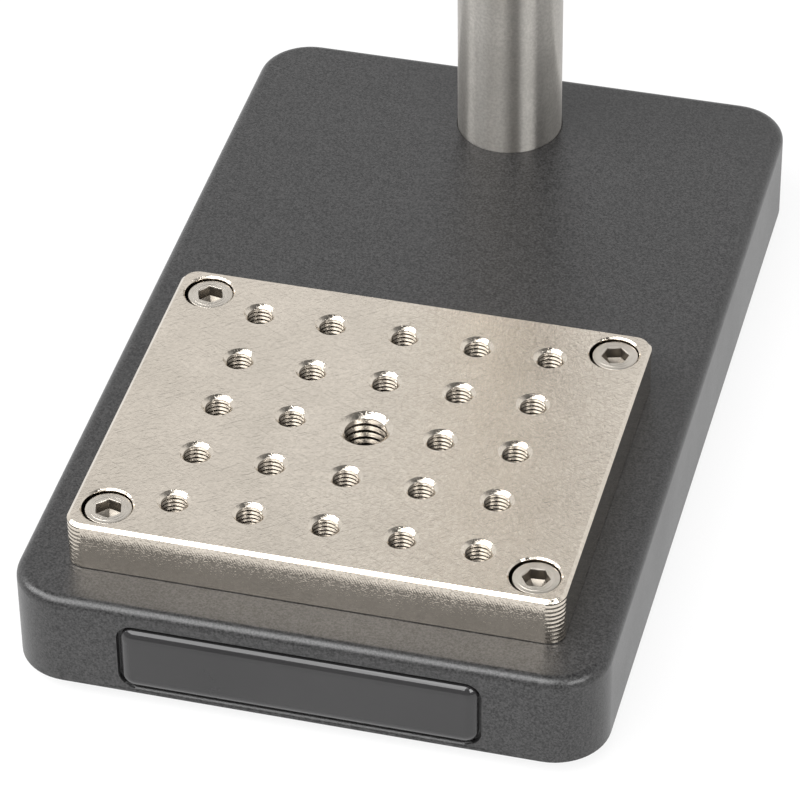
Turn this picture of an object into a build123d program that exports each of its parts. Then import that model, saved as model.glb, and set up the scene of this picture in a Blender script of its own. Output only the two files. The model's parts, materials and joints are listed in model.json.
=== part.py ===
"""Manual test stand: a small lever-operated rack-and-pinion force test stand.

Millimetres. The origin is on the bench, straight under the test axis (the centre hole of the
specimen plate). +Z is up, +X is to the right and the front faces -Y.
"""

from build123d import *
import os
from math import acos, cos, pi, radians, sin, tan

os.makedirs("parts", exist_ok=True)


# Driving dimensions: clearances

running_gap = 0.05             # shafts and flat ways that slide or turn, on radius
fit_gap = 0.01                 # pieces pressed or glued together
thread_gap = 0.05              # a screw in its tapped hole, on radius
end_gap = 0.3                  # faces that pass or stop near each other
drill_allowance = 0.5          # a blind hole is this much deeper than its screw
cut_over = 1.0                 # an open cut starts this far outside the face
edge_break = 0.3
knob_edge = 1.0
scallop_share = 0.62           # a finger scallop's radius, as a share of half the lobe pitch
scallop_set_out = 0.45         # its centre outside the rim, as a share of its radius

# Driving dimensions: base, specimen plate and what is fixed to them

base_width = 99.06
base_length = 162.56
base_height = 17.5
base_corner_r = 9.4
base_edge_r = 1.9
base_bottom_chamfer = 0.2
column_to_back = 16.46         # column axis to the base's back face
foot_proud = 3.0               # the feet lift the base this far off the bench

foot_r = 8.0
foot_sink = 2.0                # depth of a foot's pocket in the base
foot_inset = 13.0              # foot centre to the base's side, front and back faces
foot_edge = 0.8
foot_web = 1.8
foot_screw_r = 2.0
foot_screw_length = 6.35
foot_head_r = 3.5
foot_head_height = 2.2
foot_key = 2.5
foot_key_depth = 1.2
foot_washer_r = 4.4
foot_washer_thickness = 0.6

plate_width = 82.8
plate_depth = 69.85
plate_thickness = 9.0
plate_corner_r = 3.0
plate_chamfer = 0.54
grid_pitch = 12.7
grid_count = 5
grid_hole_r = 2.413            # major radius of the #10-32 thread
grid_mouth_r = 2.8
centre_hole_r = 3.97           # major radius of the 5/16-18 thread
centre_mouth_r = 4.5

screw_spacing_x = 71.12
screw_spacing_y = 58.42
screw_shift_x = 0.18           # the plate is held this far off its screws, within their clearance
screw_shift_y = 0.1
screw_r = 2.36
screw_length = 12.7
screw_head_r = 3.88
screw_head_height = 4.83
screw_head_drop = 0.5          # the heads lie this far below the plate's top
screw_key = 3.97
screw_key_depth = 2.4
counterbore_r = 4.22
counterbore_chamfer = 0.2

badge_width = 60.7
badge_height = 13.15
badge_corner_r = 2.9
badge_recess = 1.2
badge_gap = 0.65               # all round the badge in its recess
badge_thickness = 2.1
badge_dome_r = 1.0
badge_drop = 9.78              # base's top face to the badge's centre line

# Driving dimensions: column

column_r = 9.525
column_y = 102.5               # the throat: test axis to column axis
column_top = 432.0
column_seat = 8.0
column_chamfer = 0.8
seat_gap = 0.05                # the bore in the base is larger than the column by this, on radius
seat_chamfer = 0.1
column_screw_r = 3.95
column_screw_length = 20.0
column_screw_head_r = 6.5
column_screw_head_height = 4.5
column_screw_key = 4.76
column_washer_r = 7.6
column_washer_thickness = 1.2
column_pocket_r = 8.2
column_pocket_depth = 6.2
cap_height = 5.0
cap_round = 2.0
cap_spigot_r = 4.0
cap_spigot_length = 10.0

# Driving dimensions: head block on the column

head_bottom = 295.0
head_height = 70.0
head_width = 50.0
head_rear_width = 40.0
head_rear = 27.0               # column axis to the rear face
head_taper_start = 28.0        # column axis to where the flanks start to taper
head_taper_end = 18.0
head_rear_round = 6.0
head_chamfer = 1.0
clamp_slot = 2.5
clamp_offset = 17.5            # column axis to clamp stud axis
clamp_stud_r = 3.95
clamp_hole_r = 4.3
clamp_seat_depth = 1.0
clamp_washer_r = 8.2
clamp_washer_thickness = 1.6
clamp_hub_r = 9.5
clamp_hub_length = 14.0
clamp_arm_length = 56.0
clamp_arm_tip_r = 6.0
clamp_arm_thickness = 8.0
clamp_arm_round = 2.5
clamp_arm_angle = 62.0         # arm above the horizontal, leaning to the rear

# Driving dimensions: collar that carries the head on the column

collar_r = 19.0
collar_height = 20.0
collar_chamfer = 1.0
collar_gap = 0.1               # head block to collar
collar_screw_drop = 11.4       # collar's top face to its screw's axis
collar_screw_r = 3.15
collar_pad_r = 2.4
collar_pad_length = 3.0
collar_knob_r = 10.5
collar_knob_length = 12.0
collar_knob_stand = 2.0
collar_knob_lobes = 6

# Driving dimensions: pinion, lever and drag

module = 1.0
pinion_teeth = 20
pressure_angle = 20.0
backlash = 0.12
addendum = 1.0                 # in modules
dedendum = 1.25                # in modules
pinion_face = 10.0
pinion_hub_r = 8.0
pinion_hub_length = 6.0
pinion_pin_r = 1.5
shaft_r = 5.0
bush_r = 7.0
bush_flange_r = 9.5
bush_flange = 2.0
bush_length = 12.0
pocket_gap = 1.0               # round the pinion in its pocket
hub_r = 14.0
hub_length = 22.0
hub_chamfer = 1.2
boss_r = 8.0
boss_reach = 21.0              # shaft axis to the end of the rod's boss
rod_r = 4.0
rod_start = 8.0
lever_length = 110.0           # shaft axis to the ball's centre
lever_angle = 50.0             # lever above the horizontal, leaning to the front
lever_tilt = 12.0              # the rod leans outwards, clear of a mounted gauge
ball_r = 12.5
ball_flat = 10.8
ball_bore_depth = 13.8
set_screw_r = 2.5
set_screw_length = 8.0
set_screw_key = 2.5
end_washer_r = 7.5
end_washer_thickness = 1.5
end_screw_r = 2.5
end_screw_length = 14.0
end_head_r = 4.6
end_head_height = 2.8
end_key = 3.0
drag_washer_r = 9.0
drag_washer_thickness = 1.0
spring_washer_r = 8.6
spring_washer_thickness = 1.2
drag_knob_r = 17.0
drag_knob_length = 17.0
drag_knob_lobes = 8
insert_r = 7.0
insert_length = 13.0

# Driving dimensions: vertical slide and gauge plate

slide_travel = 50.0
gauge_face_y = 15.9            # the plate's front face, behind the test axis
gauge_width = 72.0
gauge_height = 96.0
gauge_thickness = 8.0
gauge_corner_r = 5.0
gauge_chamfer = 0.8
gauge_hole_x = 57.15
gauge_hole_z = 76.2
gauge_hole_r = 2.25
plate_to_head = 2.0            # gauge plate to the head block's front face
slide_neck = 24.0
slide_wide = 32.0
slide_land = 4.0
dovetail_angle = 30.0          # flank from the Y axis
rack_width = 12.0
rack_depth = 8.0
rack_sink = 4.0
rack_channel_gap = 0.8
rack_screw_r = 1.5
rack_screw_length = 8.0
rack_screw_head_r = 2.75
rack_screw_head_height = 3.0
rack_screw_key = 2.5
rack_screw_spacing = 84.0
rack_screw_sink = 3.4
gauge_screw_r = 2.0
gauge_screw_head_r = 4.0
gauge_screw_length = 14.0
gauge_screw_key = 2.5
gauge_screw_spacing_x = 13.0
gauge_screw_spacing_z = 60.0
stop_width = 44.0
stop_depth = 20.0
stop_thickness = 6.0
stop_corner_r = 3.0
stop_screw_spacing = 20.0
stop_screw_set_in = 5.0        # the slide's back face to the screws' axes
stop_screw_r = 2.0
stop_screw_length = 14.0
stop_screw_head_r = 3.5
stop_screw_head_height = 4.0
stop_screw_key = 3.0
gib_thickness = 2.5
gib_end_gap = 1.0
gib_screw_r = 2.0
gib_screw_spacing = 25.0
gib_screw_count = 3
gib_screw_proud = 5.0
gib_screw_key = 2.0
gib_nut_across = 7.0
gib_nut_thickness = 3.0

# Places worked out from the sizes above

base_top = foot_proud + base_height
base_back = column_y + column_to_back
base_front = base_back - base_length
base_mid = (base_front + base_back) / 2
plate_top = base_top + plate_thickness
head_top = head_bottom + head_height
head_mid = head_bottom + head_height / 2
gauge_back = gauge_face_y + gauge_thickness
head_front = gauge_back + plate_to_head
flank_run = (slide_wide - slide_neck) / 2
flank_depth = flank_run / tan(radians(dovetail_angle))
flank_front = head_front + running_gap
flank_back = flank_front + flank_depth
slide_back = flank_back + slide_land
rack_seat = slide_back - rack_sink
rack_tip = rack_seat + rack_depth
rack_pitch_line = rack_tip - addendum * module
pitch_r = module * pinion_teeth / 2
pinion_y = rack_pitch_line + pitch_r
pinion_z = head_mid
slide_bottom = head_bottom - end_gap
slide_top = head_top + slide_travel + end_gap
slide_mid = (slide_bottom + slide_top) / 2
clamp_y = column_y + clamp_offset


def finish(piece, name):
    """Label a finished piece and write it to its own file."""
    piece.part.label = name
    export_step(piece.part, f"parts/{name}.step")


def circles_on(builder, plane, radius):
    """The round edges of that radius that lie on the plane."""
    found = ShapeList()
    for edge in builder.edges().filter_by(GeomType.CIRCLE):
        height = (edge.center() - plane.origin).dot(plane.z_dir)
        if abs(edge.radius - radius) < 0.001 and abs(height) < 0.001:
            found.append(edge)
    return found


def cap_screws(top, points, head_radius, head_depth, shank_radius, length, key, key_depth):
    """Socket head screws: the heads' tops lie on the plane and the shanks run down its -Z."""
    with BuildPart() as screws:
        with BuildSketch(top):
            with Locations(*points):
                Circle(head_radius)
        extrude(amount=-head_depth)
        chamfer(circles_on(screws, top, head_radius), edge_break)
        with BuildSketch(top.offset(-head_depth)):
            with Locations(*points):
                Circle(shank_radius)
        extrude(amount=-length)
        with BuildSketch(top):
            with Locations(*points):
                RegularPolygon(key / 2, 6, major_radius=False)
        extrude(amount=-key_depth, mode=Mode.SUBTRACT)
    return screws


def ring(plane, points, outer, inner, thickness):
    """Flat rings lying on the plane and rising along its +Z."""
    with BuildPart() as rings:
        with BuildSketch(plane):
            with Locations(*points):
                Circle(outer)
                Circle(inner, mode=Mode.SUBTRACT)
        extrude(amount=thickness)
    return rings


def lobed_knob(plane, radius, length, lobes, bore, bore_depth):
    """A hand knob: a disc with round finger scallops in its rim and a bore in its near face."""
    scallop = radius * sin(pi / lobes) * scallop_share
    with BuildPart() as knob:
        with BuildSketch(plane):
            Circle(radius)
            with PolarLocations(radius + scallop * scallop_set_out, lobes):
                Circle(scallop, mode=Mode.SUBTRACT)
        extrude(amount=length)
        chamfer(knob.faces().sort_by(SortBy.AREA)[-2:].edges(), knob_edge)
        with BuildSketch(plane):
            Circle(bore)
        extrude(amount=bore_depth, mode=Mode.SUBTRACT)
    return knob


# Base

bench = Plane.XY
bottom_plane = Plane.XY.offset(foot_proud)
top_plane = Plane.XY.offset(base_top)
front_plane = Plane(origin=(0, base_front, 0), x_dir=(1, 0, 0), z_dir=(0, -1, 0))
badge_z = base_top - badge_drop
foot_x = base_width / 2 - foot_inset
foot_points = [
    (x, y) for x in (-foot_x, foot_x) for y in (base_front + foot_inset, base_back - foot_inset)
]
counterbore_points = [
    (x * screw_spacing_x / 2, y * screw_spacing_y / 2) for x in (-1, 1) for y in (-1, 1)
]
screw_points = [(x + screw_shift_x, y + screw_shift_y) for x, y in counterbore_points]
screw_seat = plate_top - screw_head_drop - screw_head_height
screw_end = screw_seat - screw_length
column_floor = base_top - column_seat

with BuildPart() as base:
    with BuildSketch(bottom_plane):
        with Locations((0, base_mid)):
            RectangleRounded(base_width, base_length, base_corner_r)
    extrude(amount=base_height)
    chamfer(base.faces().sort_by(Axis.Z)[0].edges(), base_bottom_chamfer)
    fillet(base.faces().sort_by(Axis.Z)[-1].edges(), base_edge_r)
    with BuildSketch(front_plane):
        with Locations((0, badge_z)):
            RectangleRounded(badge_width, badge_height, badge_corner_r)
    extrude(amount=-badge_recess, mode=Mode.SUBTRACT)
    # The column's bore, its clearance hole and the pocket of its screw's head
    with BuildSketch(top_plane):
        with Locations((0, column_y)):
            Circle(column_r + seat_gap)
    extrude(amount=-column_seat, mode=Mode.SUBTRACT)
    chamfer(circles_on(base, top_plane, column_r + seat_gap), seat_chamfer)
    with BuildSketch(bottom_plane):
        with Locations((0, column_y)):
            Circle(column_pocket_r)
    extrude(amount=column_pocket_depth, mode=Mode.SUBTRACT)
    with BuildSketch(bottom_plane):
        with Locations((0, column_y)):
            Circle(column_screw_r + end_gap)
    extrude(amount=base_height, mode=Mode.SUBTRACT)
    # Tapped holes for the plate's screws
    with BuildSketch(top_plane):
        with Locations(*screw_points):
            Circle(screw_r + thread_gap)
    extrude(amount=screw_end - base_top - drill_allowance, mode=Mode.SUBTRACT)
    # Pockets and tapped holes for the feet
    with BuildSketch(bottom_plane):
        with Locations(*foot_points):
            Circle(foot_r + end_gap / 2)
    extrude(amount=foot_sink, mode=Mode.SUBTRACT)
    with BuildSketch(bottom_plane):
        with Locations(*foot_points):
            Circle(foot_screw_r + thread_gap)
    extrude(amount=foot_screw_length + drill_allowance, mode=Mode.SUBTRACT)
finish(base, "base")


# Rubber feet, each held by a washer and a screw inside it

foot_top = foot_proud + foot_sink
web_bottom = foot_top - foot_web

with BuildPart() as rubber_feet:
    with BuildSketch(bench):
        with Locations(*foot_points):
            Circle(foot_r)
    extrude(amount=foot_top)
    chamfer(circles_on(rubber_feet, bench, foot_r), foot_edge)
    with BuildSketch(bench):
        with Locations(*foot_points):
            Circle(foot_washer_r + end_gap)
    extrude(amount=web_bottom, mode=Mode.SUBTRACT)
    with BuildSketch(bench):
        with Locations(*foot_points):
            Circle(foot_screw_r + thread_gap)
    extrude(amount=foot_top, mode=Mode.SUBTRACT)
finish(rubber_feet, "rubber_feet")

foot_washers = ring(
    Plane.XY.offset(web_bottom - foot_washer_thickness),
    foot_points,
    foot_washer_r,
    foot_screw_r + thread_gap,
    foot_washer_thickness,
)
finish(foot_washers, "foot_washers")

foot_head = web_bottom - foot_washer_thickness - foot_head_height
foot_screws = cap_screws(
    Plane(origin=(0, 0, foot_head), x_dir=(1, 0, 0), z_dir=(0, 0, -1)),
    [(x, -y) for x, y in foot_points],
    foot_head_r,
    foot_head_height,
    foot_screw_r,
    foot_screw_length,
    foot_key,
    foot_key_depth,
)
finish(foot_screws, "foot_screws")


# Specimen plate: a square grid of threaded holes round a larger centre hole

plate_plane = Plane.XY.offset(plate_top)
grid_points = []
for column_index in range(grid_count):
    for row_index in range(grid_count):
        across = (column_index - (grid_count - 1) / 2) * grid_pitch
        along = (row_index - (grid_count - 1) / 2) * grid_pitch
        if (across, along) != (0, 0):
            grid_points.append((across, along))

with BuildPart() as specimen_plate:
    with BuildSketch(top_plane):
        RectangleRounded(plate_width, plate_depth, plate_corner_r)
    extrude(amount=plate_thickness)
    chamfer(specimen_plate.faces().sort_by(Axis.Z)[-1].edges(), plate_chamfer)
    with Locations(*[plate_plane * Location((x, y, 0)) for x, y in grid_points]):
        CounterSinkHole(grid_hole_r, grid_mouth_r, counter_sink_angle=90)
    with Locations(plate_plane):
        CounterSinkHole(centre_hole_r, centre_mouth_r, counter_sink_angle=90)
    with Locations(*[plate_plane * Location((x, y, 0)) for x, y in counterbore_points]):
        CounterBoreHole(screw_r + end_gap, counterbore_r, plate_top - screw_seat)
    chamfer(circles_on(specimen_plate, plate_plane, counterbore_r), counterbore_chamfer)
finish(specimen_plate, "specimen_plate")

plate_screws = cap_screws(
    Plane.XY.offset(plate_top - screw_head_drop),
    screw_points,
    screw_head_r,
    screw_head_height,
    screw_r,
    screw_length,
    screw_key,
    screw_key_depth,
)
finish(plate_screws, "plate_screws")


# Badge: a bare domed plate in the recess of the base's front face

badge_back = Plane(origin=(0, base_front + badge_recess, 0), x_dir=(1, 0, 0), z_dir=(0, -1, 0))

with BuildPart() as badge:
    with BuildSketch(badge_back):
        with Locations((0, badge_z)):
            RectangleRounded(
                badge_width - 2 * badge_gap,
                badge_height - 2 * badge_gap,
                badge_corner_r - badge_gap,
            )
    extrude(amount=badge_thickness)
    fillet(badge.faces().sort_by(Axis.Y)[0].edges(), badge_dome_r)
finish(badge, "badge")


# Column, its screw from below and its cap

column_hole_r = column_screw_r + thread_gap
spigot_hole_r = cap_spigot_r + thread_gap

with BuildPart() as column:
    with BuildSketch(Plane.XY.offset(column_floor)):
        with Locations((0, column_y)):
            Circle(column_r)
    extrude(amount=column_top - column_floor)
    chamfer(column.edges().filter_by(GeomType.CIRCLE), column_chamfer)
    with BuildSketch(Plane.XY.offset(column_floor)):
        with Locations((0, column_y)):
            Circle(column_hole_r)
    extrude(amount=column_screw_length, mode=Mode.SUBTRACT)
    with BuildSketch(Plane.XY.offset(column_top)):
        with Locations((0, column_y)):
            Circle(spigot_hole_r)
    extrude(amount=-cap_spigot_length - drill_allowance, mode=Mode.SUBTRACT)
finish(column, "column")

pocket_floor = foot_proud + column_pocket_depth
column_washer = ring(
    Plane.XY.offset(pocket_floor - column_washer_thickness),
    [(0, column_y)],
    column_washer_r,
    column_hole_r,
    column_washer_thickness,
)
finish(column_washer, "column_washer")

column_head = pocket_floor - column_washer_thickness - column_screw_head_height
column_screw = cap_screws(
    Plane(origin=(0, 0, column_head), x_dir=(1, 0, 0), z_dir=(0, 0, -1)),
    [(0, -column_y)],
    column_screw_head_r,
    column_screw_head_height,
    column_screw_r,
    column_screw_length,
    column_screw_key,
    column_screw_head_height / 2,
)
finish(column_screw, "column_screw")

with BuildPart() as column_cap:
    with BuildSketch(Plane.XY.offset(column_top)):
        with Locations((0, column_y)):
            Circle(column_r)
    extrude(amount=cap_height)
    fillet(column_cap.faces().sort_by(Axis.Z)[-1].edges(), cap_round)
    with BuildSketch(Plane.XY.offset(column_top)):
        with Locations((0, column_y)):
            Circle(cap_spigot_r)
    extrude(amount=-cap_spigot_length)
finish(column_cap, "column_cap")


# Collar under the head block, with its thumb screw and soft pad

collar_top = head_bottom - collar_gap
collar_screw_z = collar_top - collar_screw_drop
bore_r = column_r + running_gap
pad_start = bore_r + running_gap
pad_end = pad_start + collar_pad_length
knob_start = collar_r + collar_knob_stand
behind_column = Plane(origin=(0, column_y, collar_screw_z), x_dir=(-1, 0, 0), z_dir=(0, 1, 0))

with BuildPart() as height_collar:
    with BuildSketch(Plane.XY.offset(collar_top)):
        with Locations((0, column_y)):
            Circle(collar_r)
    extrude(amount=-collar_height)
    chamfer(height_collar.edges().filter_by(GeomType.CIRCLE), collar_chamfer)
    with BuildSketch(Plane.XY.offset(collar_top)):
        with Locations((0, column_y)):
            Circle(bore_r)
    extrude(amount=-collar_height, mode=Mode.SUBTRACT)
    with BuildSketch(behind_column):
        Circle(collar_screw_r + running_gap)
    extrude(amount=collar_r, mode=Mode.SUBTRACT)
finish(height_collar, "height_collar")

with BuildPart() as collar_pad:
    with BuildSketch(behind_column.offset(pad_start)):
        Circle(collar_pad_r)
    extrude(amount=collar_pad_length)
finish(collar_pad, "collar_pad")

with BuildPart() as collar_screw:
    with BuildSketch(behind_column.offset(pad_end + running_gap)):
        Circle(collar_screw_r)
    extrude(amount=knob_start + collar_knob_length - pad_end - running_gap)
finish(collar_screw, "collar_screw")

collar_knob = lobed_knob(
    behind_column.offset(knob_start),
    collar_knob_r,
    collar_knob_length,
    collar_knob_lobes,
    collar_screw_r + fit_gap,
    collar_knob_length,
)
finish(collar_knob, "collar_knob")


# Head block: clamped to the column behind, with a dovetail groove for the slide in front

head_plane = Plane.XY.offset(head_bottom)
way_gap = running_gap / cos(radians(dovetail_angle))
gib_span = gib_thickness / cos(radians(dovetail_angle))
gib_side = way_gap + gib_span
groove_floor = slide_back + running_gap
channel_half = rack_width / 2 + rack_channel_gap
channel_floor = rack_tip + rack_channel_gap
tip_r = pitch_r + addendum * module
pocket_r = tip_r + pocket_gap
pocket_right = pinion_face / 2 + end_gap
pocket_left = -pinion_face / 2 - pinion_hub_length - end_gap
half_head = head_width / 2
half_rear = head_rear_width / 2
rear_face = column_y + head_rear
taper_front = column_y - head_taper_start
taper_rear = column_y - head_taper_end
clamp_seat = half_rear - clamp_seat_depth
gib_y = (flank_front + flank_back) / 2
gib_reach = slide_neck / 2 + (gib_y + gib_screw_r - flank_front) * tan(radians(dovetail_angle)) + gib_side
gib_rise = [
    (index - (gib_screw_count - 1) / 2) * gib_screw_spacing for index in range(gib_screw_count)
]
across = Plane(origin=(0, pinion_y, pinion_z), x_dir=(0, 1, 0), z_dir=(1, 0, 0))
across_left = Plane(origin=(0, pinion_y, pinion_z), x_dir=(0, -1, 0), z_dir=(-1, 0, 0))
clamp_across = Plane(origin=(0, clamp_y, head_mid), x_dir=(0, -1, 0), z_dir=(-1, 0, 0))
gib_across = Plane(origin=(0, gib_y, head_mid), x_dir=(0, -1, 0), z_dir=(-1, 0, 0))


def dovetail(right, left, front, back):
    """The corners of a dovetail section, its flanks moved out by right and left."""
    return [
        (slide_neck / 2 + right, front),
        (slide_neck / 2 + right, flank_front),
        (slide_wide / 2 + right, flank_back),
        (slide_wide / 2 + right, back),
        (-slide_wide / 2 - left, back),
        (-slide_wide / 2 - left, flank_back),
        (-slide_neck / 2 - left, flank_front),
        (-slide_neck / 2 - left, front),
    ]


with BuildPart() as head_block:
    with BuildSketch(head_plane) as outline:
        with BuildLine():
            Polyline(
                (-half_head, head_front),
                (half_head, head_front),
                (half_head, taper_front),
                (half_rear, taper_rear),
                (half_rear, rear_face),
                (-half_rear, rear_face),
                (-half_rear, taper_rear),
                (-half_head, taper_front),
                close=True,
            )
        make_face()
        fillet(outline.vertices().group_by(Axis.Y)[-1], head_rear_round)
    extrude(amount=head_height)
    chamfer(head_block.faces().filter_by(Axis.Z).edges(), head_chamfer)
    # The groove, the rack's channel behind it and the pinion's pocket
    with BuildSketch(head_plane):
        with BuildLine():
            Polyline(*dovetail(way_gap, gib_side, head_front - cut_over, groove_floor), close=True)
        make_face()
    extrude(amount=head_height, mode=Mode.SUBTRACT)
    with BuildSketch(head_plane):
        with Locations((0, (groove_floor + channel_floor) / 2)):
            Rectangle(2 * channel_half, channel_floor - groove_floor)
    extrude(amount=head_height, mode=Mode.SUBTRACT)
    with BuildSketch(across.offset(pocket_left)):
        Circle(pocket_r)
        with Locations(((groove_floor - pinion_y) / 2, 0)):
            Rectangle(pinion_y - groove_floor, 2 * pocket_r)
    extrude(amount=pocket_right - pocket_left, mode=Mode.SUBTRACT)
    # The pinion shaft's bore and its two bush seats
    with BuildSketch(across):
        Circle(shaft_r + end_gap)
    extrude(amount=half_head, both=True, mode=Mode.SUBTRACT)
    for side in (across, across_left):
        with BuildSketch(side.offset(half_head)):
            Circle(bush_r + fit_gap)
        extrude(amount=-bush_length, mode=Mode.SUBTRACT)
    # The column's bore, the clamp's slot and the stud's holes
    with BuildSketch(head_plane):
        with Locations((0, column_y)):
            Circle(bore_r)
        with Locations((0, column_y + head_rear / 2)):
            Rectangle(clamp_slot, head_rear)
    extrude(amount=head_height, mode=Mode.SUBTRACT)
    with BuildSketch(clamp_across):
        Circle(clamp_hole_r)
    extrude(amount=half_rear, mode=Mode.SUBTRACT)
    with BuildSketch(clamp_across):
        Circle(clamp_stud_r + running_gap)
    extrude(amount=-half_rear, mode=Mode.SUBTRACT)
    with BuildSketch(clamp_across.offset(clamp_seat)):
        Circle(clamp_washer_r + end_gap)
    extrude(amount=clamp_seat_depth, mode=Mode.SUBTRACT)
    # Tapped holes for the gib's screws
    with BuildSketch(gib_across.offset(half_head)):
        with Locations(*[(0, rise) for rise in gib_rise]):
            Circle(gib_screw_r + thread_gap)
    extrude(amount=gib_reach - half_head - gib_screw_r, mode=Mode.SUBTRACT)
finish(head_block, "head_block")


# Gib: a slanted strip that takes up the play of the dovetail, with its screws and lock nuts

with BuildPart() as gib_strip:
    with BuildSketch(Plane.XY.offset(head_bottom + gib_end_gap)):
        with BuildLine():
            Polyline(
                (-slide_neck / 2 - way_gap, flank_front),
                (-slide_wide / 2 - way_gap, flank_back),
                (-slide_wide / 2 - gib_side + fit_gap, flank_back),
                (-slide_neck / 2 - gib_side + fit_gap, flank_front),
                close=True,
            )
        make_face()
    extrude(amount=head_height - 2 * gib_end_gap)
finish(gib_strip, "gib_strip")

gib_tip = gib_reach + fit_gap
gib_end = half_head + gib_screw_proud

with BuildPart() as gib_screws:
    with BuildSketch(gib_across.offset(gib_tip)):
        with Locations(*[(0, rise) for rise in gib_rise]):
            Circle(gib_screw_r)
    extrude(amount=gib_end - gib_tip)
    chamfer(circles_on(gib_screws, gib_across.offset(gib_end), gib_screw_r), edge_break)
    with BuildSketch(gib_across.offset(gib_end)):
        with Locations(*[(0, rise) for rise in gib_rise]):
            RegularPolygon(gib_screw_key / 2, 6, major_radius=False)
    extrude(amount=-gib_screw_key, mode=Mode.SUBTRACT)
finish(gib_screws, "gib_screws")

with BuildPart() as gib_nuts:
    with BuildSketch(gib_across.offset(half_head)):
        with Locations(*[(0, rise) for rise in gib_rise]):
            RegularPolygon(gib_nut_across / 2, 6, major_radius=False)
            Circle(gib_screw_r + thread_gap, mode=Mode.SUBTRACT)
    extrude(amount=gib_nut_thickness)
finish(gib_nuts, "gib_nuts")


# Clamp: a stud across the slot behind the column, turned by a lever on the left

clamp_face = clamp_seat + clamp_washer_thickness
clamp_end = clamp_face + clamp_hub_length
arm_start = clamp_end - clamp_arm_thickness
arm_tip = (
    -clamp_arm_length * cos(radians(clamp_arm_angle)),
    clamp_arm_length * sin(radians(clamp_arm_angle)),
)

clamp_washer = ring(
    clamp_across.offset(clamp_seat),
    [(0, 0)],
    clamp_washer_r,
    clamp_hole_r,
    clamp_washer_thickness,
)
finish(clamp_washer, "clamp_washer")

with BuildPart() as clamp_stud:
    with BuildSketch(clamp_across.offset(-half_rear + end_gap)):
        Circle(clamp_stud_r)
    extrude(amount=clamp_end + half_rear - end_gap)
    chamfer(clamp_stud.edges().filter_by(GeomType.CIRCLE), edge_break)
finish(clamp_stud, "clamp_stud")

with BuildPart() as clamp_lever:
    with BuildSketch(clamp_across.offset(arm_start)):
        Circle(clamp_hub_r)
        with Locations(arm_tip):
            Circle(clamp_arm_tip_r)
        make_hull()
    extrude(amount=clamp_arm_thickness)
    fillet(clamp_lever.faces().filter_by(Axis.X).edges(), clamp_arm_round)
    with BuildSketch(clamp_across.offset(clamp_face + running_gap)):
        Circle(clamp_hub_r - clamp_arm_round)
    extrude(amount=clamp_hub_length - clamp_arm_round)
    with BuildSketch(clamp_across):
        Circle(clamp_stud_r + fit_gap)
    extrude(amount=clamp_end, mode=Mode.SUBTRACT)
finish(clamp_lever, "clamp_lever")


# Pinion: an involute gear with a hub, pinned to the cross shaft

base_circle = pitch_r * cos(radians(pressure_angle))
root_r = pitch_r - dedendum * module
tooth_thickness = pi * module / 2 - backlash / 2
pin_x = -pinion_face / 2 - pinion_hub_length / 2


def involute(angle):
    """The involute function of a pressure angle in radians."""
    return tan(angle) - angle


def flank_point(radius, side):
    """A point of a tooth's flank at that radius, for a tooth centred on +X."""
    turned = involute(radians(pressure_angle)) - involute(acos(min(1.0, base_circle / radius)))
    half = tooth_thickness / (2 * pitch_r) + turned
    return (radius * cos(half), side * radius * sin(half))


with BuildPart() as pinion_gear:
    with BuildSketch(across.offset(-pinion_face / 2)) as teeth:
        Circle(root_r)
        with PolarLocations(0, pinion_teeth, start_angle=180 / pinion_teeth):
            with BuildSketch(mode=Mode.PRIVATE) as tooth:
                with BuildLine():
                    start = flank_point(base_circle, 1)
                    tip = flank_point(tip_r, 1)
                    foot = (root_r - module, start[1])
                    ThreePointArc(start, flank_point(pitch_r, 1), tip)
                    Line(tip, (tip[0], -tip[1]))
                    ThreePointArc((tip[0], -tip[1]), flank_point(pitch_r, -1), (start[0], -start[1]))
                    Polyline((start[0], -start[1]), (foot[0], -foot[1]), foot, start)
                make_face()
            add(tooth.sketch)
    extrude(amount=pinion_face)
    with BuildSketch(across.offset(-pinion_face / 2)):
        Circle(pinion_hub_r)
    extrude(amount=-pinion_hub_length)
    with BuildSketch(across):
        Circle(shaft_r + fit_gap)
    extrude(amount=pinion_face + pinion_hub_length, both=True, mode=Mode.SUBTRACT)
    with BuildSketch(Plane(origin=(pin_x, pinion_y, pinion_z))):
        Circle(pinion_pin_r + fit_gap)
    extrude(amount=pinion_hub_r, both=True, mode=Mode.SUBTRACT)
finish(pinion_gear, "pinion_gear")

with BuildPart() as pinion_pin:
    with BuildSketch(Plane(origin=(pin_x, pinion_y, pinion_z))):
        Circle(pinion_pin_r)
    extrude(amount=pinion_hub_r - edge_break, both=True)
finish(pinion_pin, "pinion_pin")


# Cross shaft in two flanged bushes

bush_face = half_head + bush_flange
hub_start = bush_face + end_gap
hub_end = hub_start + hub_length
shaft_right = hub_end - end_gap
drag_face = bush_face + drag_washer_thickness
spring_face = drag_face + running_gap + spring_washer_thickness
knob_face = spring_face + running_gap
shaft_left = knob_face + insert_length

with BuildPart() as pinion_bushes:
    for side in (across, across_left):
        with BuildSketch(side.offset(half_head)):
            Circle(bush_flange_r)
        extrude(amount=bush_flange)
        with BuildSketch(side.offset(half_head)):
            Circle(bush_r)
        extrude(amount=-bush_length)
        with BuildSketch(side.offset(bush_face)):
            Circle(shaft_r + running_gap)
        extrude(amount=-bush_length - bush_flange, mode=Mode.SUBTRACT)
finish(pinion_bushes, "pinion_bushes")

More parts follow.
